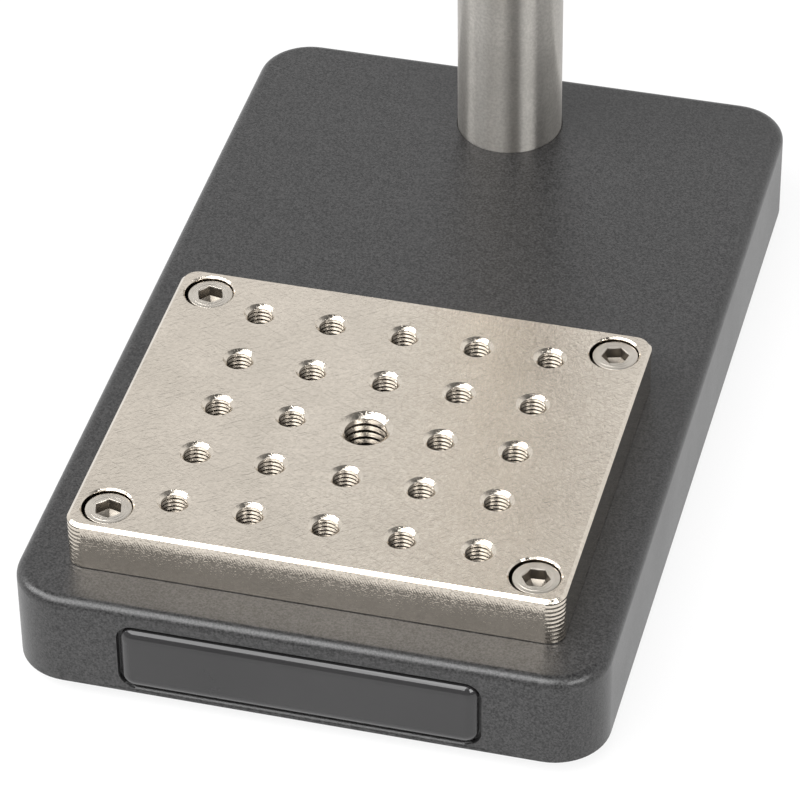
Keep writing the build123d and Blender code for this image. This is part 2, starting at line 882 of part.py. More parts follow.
with BuildPart() as pinion_shaft:
    with BuildSketch(across.offset(-shaft_left)):
        Circle(shaft_r)
    extrude(amount=shaft_left + shaft_right)
    chamfer(pinion_shaft.edges().filter_by(GeomType.CIRCLE), edge_break)
    with BuildSketch(across.offset(shaft_right)):
        Circle(end_screw_r + thread_gap)
    extrude(amount=-end_screw_length, mode=Mode.SUBTRACT)
    with BuildSketch(Plane(origin=(pin_x, pinion_y, pinion_z))):
        Circle(pinion_pin_r + fit_gap)
    extrude(amount=shaft_r, both=True, mode=Mode.SUBTRACT)
finish(pinion_shaft, "pinion_shaft")


# Lever: hub with a boss, rod, ball, set screw and end screw

hub_mid = hub_start + hub_length / 2
lever_up = Vector(0, -cos(radians(lever_angle)), sin(radians(lever_angle)))
lever_out = lever_up * cos(radians(lever_tilt)) + Vector(sin(radians(lever_tilt)), 0, 0)
lever_across = Vector(1, 0, 0).cross(lever_up)
lever_plane = Plane(origin=(hub_mid, pinion_y, pinion_z), x_dir=lever_across, z_dir=lever_out)
screw_plane = Plane(origin=(hub_mid, pinion_y, pinion_z), x_dir=(1, 0, 0), z_dir=-lever_up)
ball_plane = lever_plane.offset(lever_length)
rod_end = lever_length - ball_flat + ball_bore_depth - end_gap

with BuildPart() as lever_hub:
    with BuildSketch(across.offset(hub_start)):
        Circle(hub_r)
    extrude(amount=hub_length)
    chamfer(lever_hub.edges().filter_by(GeomType.CIRCLE), hub_chamfer)
    with BuildSketch(lever_plane):
        Circle(boss_r)
    extrude(amount=boss_reach)
    chamfer(circles_on(lever_hub, lever_plane.offset(boss_reach), boss_r), hub_chamfer)
    with BuildSketch(across.offset(hub_start)):
        Circle(shaft_r + fit_gap)
    extrude(amount=hub_length, mode=Mode.SUBTRACT)
    with BuildSketch(lever_plane.offset(rod_start)):
        Circle(rod_r + fit_gap)
    extrude(amount=boss_reach, mode=Mode.SUBTRACT)
    with BuildSketch(screw_plane):
        Circle(set_screw_r + thread_gap)
    extrude(amount=hub_r, mode=Mode.SUBTRACT)
finish(lever_hub, "lever_hub")

with BuildPart() as hub_set_screw:
    with BuildSketch(screw_plane.offset(shaft_r + fit_gap)):
        Circle(set_screw_r)
    extrude(amount=set_screw_length)
    with BuildSketch(screw_plane.offset(shaft_r + fit_gap + set_screw_length)):
        RegularPolygon(set_screw_key / 2, 6, major_radius=False)
    extrude(amount=-set_screw_key, mode=Mode.SUBTRACT)
finish(hub_set_screw, "hub_set_screw")

with BuildPart() as lever_rod:
    with BuildSketch(lever_plane.offset(rod_start)):
        Circle(rod_r)
    extrude(amount=rod_end - rod_start)
    chamfer(lever_rod.edges().filter_by(GeomType.CIRCLE), edge_break)
finish(lever_rod, "lever_rod")

with BuildPart(ball_plane) as lever_ball:
    Sphere(ball_r)
    split(bisect_by=ball_plane.offset(-ball_flat), keep=Keep.TOP)
    with BuildSketch(ball_plane.offset(-ball_flat)):
        Circle(rod_r + fit_gap)
    extrude(amount=ball_bore_depth, mode=Mode.SUBTRACT)
finish(lever_ball, "lever_ball")

end_washer = ring(
    across.offset(hub_end),
    [(0, 0)],
    end_washer_r,
    end_screw_r + thread_gap,
    end_washer_thickness,
)
finish(end_washer, "end_washer")

end_screw = cap_screws(
    across.offset(hub_end + end_washer_thickness + end_head_height),
    [(0, 0)],
    end_head_r,
    end_head_height,
    end_screw_r,
    end_screw_length,
    end_key,
    end_head_height / 2,
)
finish(end_screw, "end_screw")


# Drag on the shaft's left end: fibre washer, spring washer and a knob with a brass insert

drag_washer = ring(
    across_left.offset(bush_face),
    [(0, 0)],
    drag_washer_r,
    shaft_r + running_gap,
    drag_washer_thickness,
)
finish(drag_washer, "drag_washer")

spring_washer = ring(
    across_left.offset(drag_face + running_gap),
    [(0, 0)],
    spring_washer_r,
    shaft_r + fit_gap,
    spring_washer_thickness,
)
finish(spring_washer, "spring_washer")

drag_insert = ring(
    across_left.offset(knob_face),
    [(0, 0)],
    insert_r,
    shaft_r + running_gap,
    insert_length,
)
finish(drag_insert, "drag_insert")

drag_knob = lobed_knob(
    across_left.offset(knob_face),
    drag_knob_r,
    drag_knob_length,
    drag_knob_lobes,
    insert_r + fit_gap,
    insert_length + end_gap,
)
finish(drag_knob, "drag_knob")


# Slide: dovetail bar with the rack in its back and a stop plate at each end

slide_plane = Plane.XY.offset(slide_bottom)
slide_length = slide_top - slide_bottom
bar_front = Plane(origin=(0, gauge_back, slide_mid), x_dir=(1, 0, 0), z_dir=(0, -1, 0))
gauge_front = bar_front.offset(gauge_thickness)
stop_y = head_front + end_gap + stop_depth / 2
stop_screw_y = slide_back - stop_screw_set_in
stop_screw_points = [(side * stop_screw_spacing / 2, stop_screw_y) for side in (-1, 1)]
rack_screw_points = [(0, side * rack_screw_spacing / 2) for side in (-1, 1)]
gauge_screw_points = [
    (x * gauge_screw_spacing_x / 2, z * gauge_screw_spacing_z / 2)
    for x in (-1, 1)
    for z in (-1, 1)
]
gauge_hole_points = [
    (x * gauge_hole_x / 2, z * gauge_hole_z / 2) for x in (-1, 1) for z in (-1, 1)
]
rack_screw_end = gauge_back + rack_screw_sink + rack_screw_length
stop_head_sink = stop_screw_head_height + edge_break
stop_web = stop_thickness - stop_head_sink
stop_grip = stop_screw_length - stop_web

with BuildPart() as slide_bar:
    with BuildSketch(slide_plane):
        with BuildLine():
            Polyline(*dovetail(0, 0, gauge_back, slide_back), close=True)
        make_face()
        with Locations((0, (rack_seat + slide_back) / 2)):
            Rectangle(rack_width + 2 * fit_gap, rack_sink, mode=Mode.SUBTRACT)
    extrude(amount=slide_length)
    with BuildSketch(bar_front):
        with Locations(*rack_screw_points):
            Circle(rack_screw_head_r + thread_gap)
    extrude(amount=-rack_screw_sink, mode=Mode.SUBTRACT)
    with BuildSketch(bar_front):
        with Locations(*rack_screw_points):
            Circle(rack_screw_r + thread_gap)
    extrude(amount=-rack_seat + gauge_back, mode=Mode.SUBTRACT)
    with BuildSketch(bar_front):
        with Locations(*gauge_screw_points):
            Circle(gauge_screw_r + thread_gap)
    extrude(amount=gauge_thickness - gauge_screw_length - drill_allowance, mode=Mode.SUBTRACT)
    for end, into in ((slide_bottom, 1), (slide_top, -1)):
        with BuildSketch(Plane.XY.offset(end)):
            with Locations(*stop_screw_points):
                Circle(stop_screw_r + thread_gap)
        extrude(amount=into * (stop_grip + drill_allowance), mode=Mode.SUBTRACT)
finish(slide_bar, "slide_bar")


# Rack: straight-sided teeth in mesh with the pinion

rack_plane = Plane(origin=(-rack_width / 2, 0, 0), x_dir=(0, 1, 0), z_dir=(1, 0, 0))
rack_pitch = pi * module
gap_half = (rack_pitch - tooth_thickness) / 2
slope = tan(radians(pressure_angle))
rack_root = rack_pitch_line - dedendum * module
gap_tip = gap_half + addendum * module * slope
gap_root = gap_half - dedendum * module * slope
gaps = []
for count in range(-int(slide_length / rack_pitch), int(slide_length / rack_pitch)):
    height = pinion_z + (count + 0.5) * rack_pitch
    if slide_bottom + gap_tip < height < slide_top - gap_tip:
        gaps.append(height)

with BuildPart() as rack:
    with BuildSketch(rack_plane):
        with Locations(((rack_seat + rack_tip) / 2, slide_mid)):
            Rectangle(rack_depth, slide_length)
        with Locations(*[(0, height) for height in gaps]):
            Polygon(
                (rack_root, -gap_root),
                (rack_tip, -gap_tip),
                (rack_tip, gap_tip),
                (rack_root, gap_root),
                align=None,
                mode=Mode.SUBTRACT,
            )
    extrude(amount=rack_width)
    with BuildSketch(bar_front.offset(gauge_back - rack_seat)):
        with Locations(*rack_screw_points):
            Circle(rack_screw_r + thread_gap)
    extrude(amount=rack_seat - rack_screw_end - drill_allowance, mode=Mode.SUBTRACT)
finish(rack, "rack")

rack_screws = cap_screws(
    bar_front.offset(rack_screw_head_height - rack_screw_sink),
    rack_screw_points,
    rack_screw_head_r,
    rack_screw_head_height,
    rack_screw_r,
    rack_screw_length,
    rack_screw_key,
    rack_screw_head_height / 2,
)
finish(rack_screws, "rack_screws")


# Stop plates: they meet the head block at the ends of the travel

def stop_plate(plane, screw_side):
    """A plate on the slide's end, its screws' heads sunk in the outer face."""
    with BuildPart() as plate:
        with BuildSketch(plane):
            with Locations((0, screw_side * stop_y)):
                RectangleRounded(stop_width, stop_depth, stop_corner_r)
        extrude(amount=stop_thickness)
        chamfer(plate.faces().filter_by(Axis.Z).edges(), edge_break)
        points = [(x, screw_side * y) for x, y in stop_screw_points]
        with BuildSketch(plane):
            with Locations(*points):
                Circle(stop_screw_r + thread_gap)
        extrude(amount=stop_thickness, mode=Mode.SUBTRACT)
        with BuildSketch(plane.offset(stop_thickness)):
            with Locations(*points):
                Circle(stop_screw_head_r + thread_gap)
        extrude(amount=-stop_head_sink, mode=Mode.SUBTRACT)
    return plate


upper_end = Plane.XY.offset(slide_top)
lower_end = Plane(origin=(0, 0, slide_bottom), x_dir=(1, 0, 0), z_dir=(0, 0, -1))
top_stop = stop_plate(upper_end, 1)
finish(top_stop, "top_stop")
bottom_stop = stop_plate(lower_end, -1)
finish(bottom_stop, "bottom_stop")

with BuildPart() as stop_screws:
    for plane, screw_side in ((upper_end, 1), (lower_end, -1)):
        pair = cap_screws(
            plane.offset(stop_web + stop_screw_head_height),
            [(x, screw_side * y) for x, y in stop_screw_points],
            stop_screw_head_r,
            stop_screw_head_height,
            stop_screw_r,
            stop_screw_length,
            stop_screw_key,
            stop_screw_head_height / 2,
        )
        add(pair.part)
finish(stop_screws, "stop_screws")


# Gauge plate on the front of the slide

with BuildPart() as gauge_plate:
    with BuildSketch(bar_front):
        RectangleRounded(gauge_width, gauge_height, gauge_corner_r)
    extrude(amount=gauge_thickness)
    chamfer(gauge_plate.faces().sort_by(Axis.Y)[0].edges(), gauge_chamfer)
    with BuildSketch(bar_front):
        with Locations(*gauge_hole_points):
            Circle(gauge_hole_r)
    extrude(amount=gauge_thickness, mode=Mode.SUBTRACT)
    with Locations(*[gauge_front * Location((x, z, 0)) for x, z in gauge_screw_points]):
        CounterSinkHole(
            gauge_screw_r + thread_gap,
            gauge_screw_head_r + 2 * thread_gap,
            counter_sink_angle=90,
        )
finish(gauge_plate, "gauge_plate")

with BuildPart() as gauge_plate_screws:
    with BuildSketch(gauge_front):
        with Locations(*gauge_screw_points):
            Circle(gauge_screw_head_r)
    extrude(amount=gauge_screw_r - gauge_screw_head_r, taper=45)
    with BuildSketch(gauge_front):
        with Locations(*gauge_screw_points):
            Circle(gauge_screw_r)
    extrude(amount=-gauge_screw_length)
    with BuildSketch(gauge_front):
        with Locations(*gauge_screw_points):
            RegularPolygon(gauge_screw_key / 2, 6, major_radius=False)
    extrude(amount=-gauge_screw_head_r / 2, mode=Mode.SUBTRACT)
finish(gauge_plate_screws, "gauge_plate_screws")
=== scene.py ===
"""Manual test stand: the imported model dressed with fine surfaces, finishes and studio light.

Metres. The origin is on the bench, under the specimen plate's centre hole. +Z is up and the front
faces -Y.
"""

import json
from math import radians

import bmesh
import bpy
import numpy as np
from mathutils import Matrix, Vector
from mathutils.geometry import delaunay_2d_cdt


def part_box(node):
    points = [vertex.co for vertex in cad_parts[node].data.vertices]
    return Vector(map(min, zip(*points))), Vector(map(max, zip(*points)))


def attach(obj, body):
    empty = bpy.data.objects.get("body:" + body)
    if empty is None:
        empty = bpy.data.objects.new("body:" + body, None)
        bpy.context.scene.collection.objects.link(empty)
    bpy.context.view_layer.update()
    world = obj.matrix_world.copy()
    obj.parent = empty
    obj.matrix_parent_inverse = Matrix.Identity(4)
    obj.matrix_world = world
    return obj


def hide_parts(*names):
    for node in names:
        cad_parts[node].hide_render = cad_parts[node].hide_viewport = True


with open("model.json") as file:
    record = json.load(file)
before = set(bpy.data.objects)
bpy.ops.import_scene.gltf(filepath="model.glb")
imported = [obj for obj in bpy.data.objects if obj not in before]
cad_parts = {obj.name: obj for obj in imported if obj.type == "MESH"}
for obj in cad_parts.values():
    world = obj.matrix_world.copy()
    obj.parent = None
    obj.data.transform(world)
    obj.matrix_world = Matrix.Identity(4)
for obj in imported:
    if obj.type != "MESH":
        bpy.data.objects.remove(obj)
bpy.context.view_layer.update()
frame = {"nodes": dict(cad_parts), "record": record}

mm = 0.001
inch = 25.4 * mm
turn = 2 * np.pi
weld = 0.002 * mm              # points nearer than this are one
inside_with_holes = 2          # how flat faces are cut: inside the outline, outside the holes

record = frame["record"]
body_of = {node: body for body, nodes in record["behaviour"]["bodies"].items() for node in nodes}
slot_of = {row["node"]: row["material_slot"] for row in record["subparts"]}
mounts = {mount["name"]: mount for mount in record["mounts"]}


# Places and sizes read from the frame

plate_low, plate_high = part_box("specimen_plate")
screws_low, screws_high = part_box("plate_screws")
badge_low, badge_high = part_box("badge")
column_low, column_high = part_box("column")
plate_width = plate_high.x - plate_low.x
plate_depth = plate_high.y - plate_low.y
plate_top = plate_high.z
grid_pitch = mounts["grid_inner_corners"]["dims"]["spacing_x_mm"] * mm / 2
grid_hole_r = mounts["grid_inner_corners"]["dims"]["hole_r_mm"] * mm
centre_hole_r = mounts["specimen_socket"]["dims"]["r_mm"] * mm

# Sizes of what only this script makes

plate_corner_r = 3.0 * mm
plate_bevel = 0.54 * mm
plate_foot_break = 0.15 * mm
corner_ridges = 10             # steps that the cutter left down each corner
corner_ridge_depth = 0.07 * mm
grid_count = 5
grid_thread_pitch = inch / 32
centre_thread_pitch = inch / 18
grid_mouth_r = 2.8 * mm
grid_crest_r = 2.12 * mm       # the threads' crests, where the mouth's cone ends
centre_mouth_r = 4.5 * mm
centre_crest_r = 3.52 * mm
foot_mouth = 0.25 * mm         # a threaded hole's mouth in the plate's underside
mouth_slope = 0.86             # depth of a mouth's cone for each unit of its width
mouth_rim = 0.09 * mm          # a fine break round each mouth, this wide and a third as deep
counterbore_r = 4.22 * mm
counterbore_bevel = 0.28 * mm
screw_head_r = 3.88 * mm
screw_head_height = 4.83 * mm
screw_hole_r = 2.66 * mm
screw_shank_r = 2.36 * mm
screw_key = 3.97 * mm
screw_key_depth = 2.2 * mm
screw_turns = [radians(45), radians(50), radians(65), radians(17)]
badge_corner_r = 2.25 * mm
badge_roll_r = 2.4 * mm        # the badge's face rolls down to its edge on this radius
badge_edge_tilt = radians(57)  # how far the roll has turned where it meets the edge
column_bevel = 0.8 * mm
milling_pitch = 0.46 * mm      # marks of the cutter on the plate's upright faces
milling_slant = 0.55           # how far the marks lean, in width for each unit of height
plate_rim_share = 0.965        # the plate's holes lie within this share of its half width and depth

# Places of the plate's counterbores and of the screws, which sit a little off their middles

screw_middle = (screws_high + screws_low) / 2
screw_reach = (screws_high - screws_low) / 2 - Vector((screw_head_r, screw_head_r, 0))
bore_places = [(x * screw_reach.x, y * screw_reach.y) for x in (-1, 1) for y in (-1, 1)]
screw_places = [(x + screw_middle.x, y + screw_middle.y) for x, y in bore_places]


# Meshes from arrays

def ring_angles(steps):
    """Angles evenly spaced round a full turn."""
    return np.arange(steps) * turn / steps


def grid_faces(rows, columns, closed=True):
    """Four-sided faces of a grid whose points run row by row.

    closed joins the last column to the first.
    """
    last = columns if closed else columns - 1
    row, column = np.meshgrid(np.arange(rows - 1), np.arange(last), indexing="ij")
    here = row * columns + column
    beside = row * columns + (column + 1) % columns
    return np.stack([here, beside, beside + columns, here + columns], axis=-1).reshape(-1, 4)


def rounded_outline(width, depth, radius, corner_steps):
    """A rounded rectangle about the origin, anticlockwise, with its outward directions and a corner mask.

    Each corner is a quarter circle, point = corner centre + radius * (cos, sin), and the mask is the
    sine of twice the angle inside the corner, so it is nought on the straight sides.
    """
    bend = np.linspace(0, np.pi / 2, corner_steps)
    start = np.repeat(np.arange(4) * np.pi / 2, corner_steps)
    angle = start + np.tile(bend, 4)
    along = np.stack([np.cos(angle), np.sin(angle)], axis=-1)
    middle = np.repeat(np.array([(1, 1), (-1, 1), (-1, -1), (1, -1)]), corner_steps, axis=0)
    centre = middle * np.array([width / 2 - radius, depth / 2 - radius])
    mask = np.tile(np.sin(2 * bend), 4)
    return centre + radius * along, along, mask


def lathe(stations, steps, turned=0.0):
    """A surface of revolution about +Z, closed at both ends where its first and last radii are nought.

    Each station is (radius, height, hexagon share); point = radius * shape(angle) at that height,
    where shape goes from 1 for a circle to 1 / cos of the angle off the nearest flat for a hexagon.
    """
    radius, height, share = (np.array(column)[:, None] for column in zip(*stations))
    angle = ring_angles(steps) + turned
    off_flat = np.mod(ring_angles(steps), turn / 6) - turn / 12
    shape = 1 - share + share / np.cos(off_flat)[None, :]
    reach = radius * shape
    points = np.stack([reach * np.cos(angle), reach * np.sin(angle), height + 0 * reach], axis=-1)
    return points.reshape(-1, 3), grid_faces(len(stations), steps)


def moved(patch, x, y, z):
    """The patch at another place."""
    points, faces = patch
    return points + np.array([x, y, z]), faces


def flat_face(outline, holes, height):
    """A level face with round or other holes, cut into triangles that keep every point of its loops."""
    loops = [outline, *holes]
    points = np.concatenate(loops)
    ends = np.cumsum([len(loop) for loop in loops])
    rings = [list(range(end - len(loop), end)) for end, loop in zip(ends, loops)]
    corners = [Vector(point) for point in points]
    cut = delaunay_2d_cdt(corners, [], rings, inside_with_holes, weld / 100)
    flat = np.array([tuple(corner) for corner in cut[0]])
    return np.column_stack([flat, np.full(len(flat), height)]), np.array(cut[2])


def circle_at(x, y, radius, steps):
    """Points of a level circle."""
    angle = ring_angles(steps)
    return np.stack([x + radius * np.cos(angle), y + radius * np.sin(angle)], axis=-1)


def make_piece(name, patches, material, body, replaced, sharp):
    """Joins the patches into one mesh and finishes it; sharp is the angle of its sharp edges."""
    mesh = bpy.data.meshes.new(name)
    first = np.cumsum([0] + [len(points) for points, _ in patches])
    corners = np.concatenate([(faces + start).ravel() for (_, faces), start in zip(patches, first)])
    counts = np.concatenate([np.full(len(faces), faces.shape[1]) for _, faces in patches])
    points = np.concatenate([points for points, _ in patches])
    mesh.vertices.add(len(points))
    mesh.vertices.foreach_set("co", points.ravel())
    mesh.loops.add(len(corners))
    mesh.loops.foreach_set("vertex_index", corners)
    mesh.polygons.add(len(counts))
    mesh.polygons.foreach_set("loop_start", np.cumsum(counts) - counts)
    mesh.update(calc_edges=True)
    finish_piece(name, mesh, material, body, replaced, sharp)


def finish_piece(name, mesh, material, body, replaced, sharp):
    """Welds a mesh, turns its faces outwards, shades it between sharp edges, sets it on its body."""
    work = bmesh.new()
    work.from_mesh(mesh)
    bmesh.ops.remove_doubles(work, verts=work.verts, dist=weld)
    bmesh.ops.dissolve_degenerate(work, edges=work.edges, dist=weld / 10)
    bmesh.ops.recalc_face_normals(work, faces=work.faces)
    work.to_mesh(mesh)
    work.free()
    mesh.shade_smooth()
    mesh.set_sharp_from_angle(angle=radians(sharp))
    mesh.materials.clear()
    mesh.materials.append(material)
    piece = bpy.data.objects.new(name, mesh)
    bpy.context.scene.collection.objects.link(piece)
    even = piece.modifiers.new("even normals", "WEIGHTED_NORMAL")
    even.keep_sharp = True
    even.weight = 100
    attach(piece, body)
    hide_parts(*replaced)


def dress(node, material):
    """A welded, smoothly shaded copy of a CAD node that stands in its place."""
    mesh = frame["nodes"][node].data.copy()
    work = bmesh.new()
    work.from_mesh(mesh)
    bmesh.ops.remove_doubles(work, verts=work.verts, dist=weld)
    bmesh.ops.dissolve_limit(work, angle_limit=radians(0.2), verts=work.verts, edges=work.edges)
    work.to_mesh(mesh)
    work.free()
    finish_piece(f"finished_{node}", mesh, material, body_of[node], [node], 30.0)


# Shader helpers

def add_node(tree, kind, inputs=None, **settings):
    """Adds a shader node, sets its properties, and sets or links its inputs."""
    made = tree.nodes.new(kind)
    for name, value in settings.items():
        setattr(made, name, value)
    for name, value in (inputs or {}).items():
        if isinstance(value, bpy.types.NodeSocket):
            tree.links.new(value, made.inputs[name])
        else:
            made.inputs[name].default_value = value
    return made


def math(tree, operation, first, second=0.0, third=0.0):
    """One arithmetic step on values."""
    values = {0: first, 1: second, 2: third}
    return add_node(tree, "ShaderNodeMath", values, operation=operation).outputs[0]


def span(tree, value, low, high, to_low, to_high):
    """The value's range low to high stretched to another range and held at its ends."""
    sizes = {"Value": value, "From Min": low, "From Max": high, "To Min": to_low, "To Max": to_high}
    return add_node(tree, "ShaderNodeMapRange", sizes).outputs["Result"]


def blend_colours(tree, factor, first, second):
    """A colour between two."""
    mix = add_node(tree, "ShaderNodeMix", {"Factor": factor}, data_type="RGBA")
    for socket, value in ((mix.inputs[6], first), (mix.inputs[7], second)):
        if isinstance(value, bpy.types.NodeSocket):
            tree.links.new(value, socket)
        else:
            socket.default_value = (*value, 1)
    return mix.outputs[2]


def new_group(name, inputs, outputs):
    """An empty shader node group with named inputs and outputs."""
    group = bpy.data.node_groups.new(name, "ShaderNodeTree")
    for socket_name, kind, value in inputs:
        socket = group.interface.new_socket(socket_name, in_out="INPUT", socket_type=kind)
        if value is not None:
            socket.default_value = value
    for socket_name, kind in outputs:
        group.interface.new_socket(socket_name, in_out="OUTPUT", socket_type=kind)
    given = group.nodes.new("NodeGroupInput").outputs
    result = group.nodes.new("NodeGroupOutput").inputs
    return group, given, result


def make_grain():
    """Blasted or moulded grain: fine noise for the height, with slow cloudy noise for the tone."""
    group, given, result = new_group(
        "surface grain",
        [
            ("Vector", "NodeSocketVector", None),
            ("Grain", "NodeSocketFloat", 3000.0),
            ("Cloud", "NodeSocketFloat", 60.0),
        ],
        [("Height", "NodeSocketFloat"), ("Speckle", "NodeSocketFloat"), ("Cloud", "NodeSocketFloat")],
    )
    fine = {"Vector": given["Vector"], "Scale": given["Grain"], "Detail": 3.0, "Roughness": 0.65}
    noise = add_node(group, "ShaderNodeTexNoise", fine).outputs["Fac"]
    slow = {"Vector": given["Vector"], "Scale": given["Cloud"], "Detail": 5.0, "Roughness": 0.6}
    cloud = add_node(group, "ShaderNodeTexNoise", slow).outputs["Fac"]
    group.links.new(noise, result["Height"])
    group.links.new(span(group, noise, 0.36, 0.64, 0.0, 1.0), result["Speckle"])
    group.links.new(span(group, cloud, 0.3, 0.7, 0.0, 1.0), result["Cloud"])
    return group


def make_scratches():
    """Fine random scratches: three sets of long thin noise at different slants, kept where they peak."""
    group, given, result = new_group(
        "fine scratches",
        [
            ("Vector", "NodeSocketVector", None),
            ("Across", "NodeSocketFloat", 2600.0),
            ("Length", "NodeSocketFloat", 90.0),
        ],
        [("Scratches", "NodeSocketFloat")],
    )
    total = None
    for slant in (0.5, 1.45, 2.5):
        turned = {"Vector": given["Vector"], "Rotation": (0.0, 0.0, slant)}
        place = add_node(group, "ShaderNodeMapping", turned).outputs["Vector"]
        sizes = {0: given["Length"], 1: given["Across"], 2: given["Across"]}
        stretch = add_node(group, "ShaderNodeCombineXYZ", sizes).outputs["Vector"]
        scaled = {0: place, 1: stretch}
        drawn = add_node(group, "ShaderNodeVectorMath", scaled, operation="MULTIPLY").outputs["Vector"]
        thin = {"Vector": drawn, "Scale": 1.0, "Detail": 2.0}
        noise = add_node(group, "ShaderNodeTexNoise", thin).outputs["Fac"]
        line = span(group, noise, 0.6, 0.72, 0.0, 1.0)
        total = line if total is None else math(group, "MAXIMUM", total, line)
    group.links.new(total, result["Scratches"])
    return group


def make_lines():
    """Ground or turned lines: noise squeezed across one axis and drawn out along the others."""
    group, given, result = new_group(
        "ground lines",
        [("Vector", "NodeSocketVector", None), ("Stretch", "NodeSocketVector", (30.0, 30.0, 4000.0))],
        [("Lines", "NodeSocketFloat"), ("Bands", "NodeSocketFloat")],
    )
    scaled = {0: given["Vector"], 1: given["Stretch"]}
    drawn = add_node(group, "ShaderNodeVectorMath", scaled, operation="MULTIPLY").outputs["Vector"]
    thin = {"Vector": drawn, "Scale": 1.0, "Detail": 3.0}
    lines = add_node(group, "ShaderNodeTexNoise", thin).outputs["Fac"]
    wide = {"Vector": drawn, "Scale": 0.12, "Detail": 2.0}
    bands = add_node(group, "ShaderNodeTexNoise", wide).outputs["Fac"]
    group.links.new(lines, result["Lines"])
    group.links.new(span(group, bands, 0.3, 0.7, 0.0, 1.0), result["Bands"])
    return group


def make_edges():
    """Softened and worn edges: the normal rounded over a small radius, and a mask of where it turns."""
    group, given, result = new_group(
        "softened edges",
        [("Radius", "NodeSocketFloat", 0.0002)],
        [("Normal", "NodeSocketVector"), ("Wear", "NodeSocketFloat")],
    )
    rounded = add_node(group, "ShaderNodeBevel", {"Radius": given["Radius"]}, samples=6).outputs["Normal"]
    plain = add_node(group, "ShaderNodeNewGeometry").outputs["Normal"]
    normals = {0: rounded, 1: plain}
    facing = add_node(group, "ShaderNodeVectorMath", normals, operation="DOT_PRODUCT").outputs["Value"]
    group.links.new(rounded, result["Normal"])
    group.links.new(span(group, facing, 0.99, 0.8, 0.0, 1.0), result["Wear"])
    return group


grain_group = make_grain()
scratch_group = make_scratches()
line_group = make_lines()
edge_group = make_edges()


def use_group(tree, group, **inputs):
    """Places a shared effect in a material with this material's own values."""
    given = {name.replace("_", " "): value for name, value in inputs.items()}
    return add_node(tree, "ShaderNodeGroup", given, node_tree=group).outputs


def new_material(name):
    """A material with its Principled shader and the object's coordinates."""
    material = bpy.data.materials.new(name)
    material.use_nodes = True
    tree = material.node_tree
    shader = tree.nodes["Principled BSDF"]
    place = add_node(tree, "ShaderNodeTexCoord").outputs["Object"]
    return material, tree, shader, place


def set_bump(tree, shader, height, distance, normal):
    """Feeds a height, of this distance in metres, to the shader's normal over the softened edges."""
    inputs = {"Height": height, "Distance": distance, "Strength": 1.0, "Normal": normal}
    bump = add_node(tree, "ShaderNodeBump", inputs)
    tree.links.new(bump.outputs["Normal"], shader.inputs["Normal"])


def anodised(name, dark, light, roughness, grain, depth):
    """Black anodised aluminium: a dark dyed skin with blasted grain and faintly paler edges."""
    material, tree, shader, place = new_material(name)
    skin = use_group(tree, grain_group, Vector=place, Grain=grain, Cloud=45.0)
    edges = use_group(tree, edge_group, Radius=0.25 * mm)
    tone = blend_colours(tree, skin["Speckle"], dark, light)
    paler = math(tree, "MULTIPLY", edges["Wear"], 0.35)
    colour = blend_colours(tree, paler, tone, tuple(3 * part for part in light))
    tree.links.new(colour, shader.inputs["Base Color"])
    rough = span(tree, skin["Cloud"], 0.0, 1.0, roughness - 0.02, roughness + 0.03)
    tree.links.new(rough, shader.inputs["Roughness"])
    shader.inputs["IOR"].default_value = 1.55
    set_bump(tree, shader, skin["Height"], depth, edges["Normal"])
    return material


def ground_steel(name, colour, shade, roughness, stretch, depth):
    """Ground or turned metal: fine lines one way, soft bands of tone and bright softened edges."""
    material, tree, shader, place = new_material(name)
    lines = use_group(tree, line_group, Vector=place, Stretch=stretch)
    skin = use_group(tree, grain_group, Vector=place, Grain=2500.0, Cloud=120.0)
    edges = use_group(tree, edge_group, Radius=0.2 * mm)
    mixed = math(tree, "MULTIPLY_ADD", skin["Cloud"], 0.4, math(tree, "MULTIPLY", lines["Bands"], 0.6))
    tree.links.new(blend_colours(tree, mixed, shade, colour), shader.inputs["Base Color"])
    rough = span(tree, lines["Lines"], 0.3, 0.7, roughness - 0.05, roughness + 0.07)
    tree.links.new(rough, shader.inputs["Roughness"])
    shader.inputs["Metallic"].default_value = 1.0
    set_bump(tree, shader, lines["Lines"], depth, edges["Normal"])
    return material


def hole_masks(tree, parts):
    """Two masks of the plate: away from its outer faces, and deep on the threads inside its holes.

    Deep is past the lip of the hole's mouth, at mouth_slope * (mouth radius - crest radius) down.
    """
    across = math(tree, "DIVIDE", math(tree, "ABSOLUTE", parts["X"]), plate_width / 2)
    along = math(tree, "DIVIDE", math(tree, "ABSOLUTE", parts["Y"]), plate_depth / 2)
    inside = math(tree, "LESS_THAN", math(tree, "MAXIMUM", across, along), plate_rim_share)
    x_squared = math(tree, "MULTIPLY", parts["X"], parts["X"])
    y_squared = math(tree, "MULTIPLY", parts["Y"], parts["Y"])
    from_axis = math(tree, "SQRT", math(tree, "ADD", x_squared, y_squared))
    in_centre = math(tree, "LESS_THAN", from_axis, centre_mouth_r)
    centre_lip = mouth_slope * (centre_mouth_r - centre_crest_r)
    grid_lip = mouth_slope * (grid_mouth_r - grid_crest_r)
    lip = math(tree, "MULTIPLY_ADD", in_centre, centre_lip - grid_lip, grid_lip)
    past_lip = math(tree, "SUBTRACT", math(tree, "SUBTRACT", plate_top, parts["Z"]), lip)
    deep = math(tree, "MULTIPLY", inside, span(tree, past_lip, -0.06 * mm, 0.02 * mm, 0.0, 1.0))
    return inside, deep


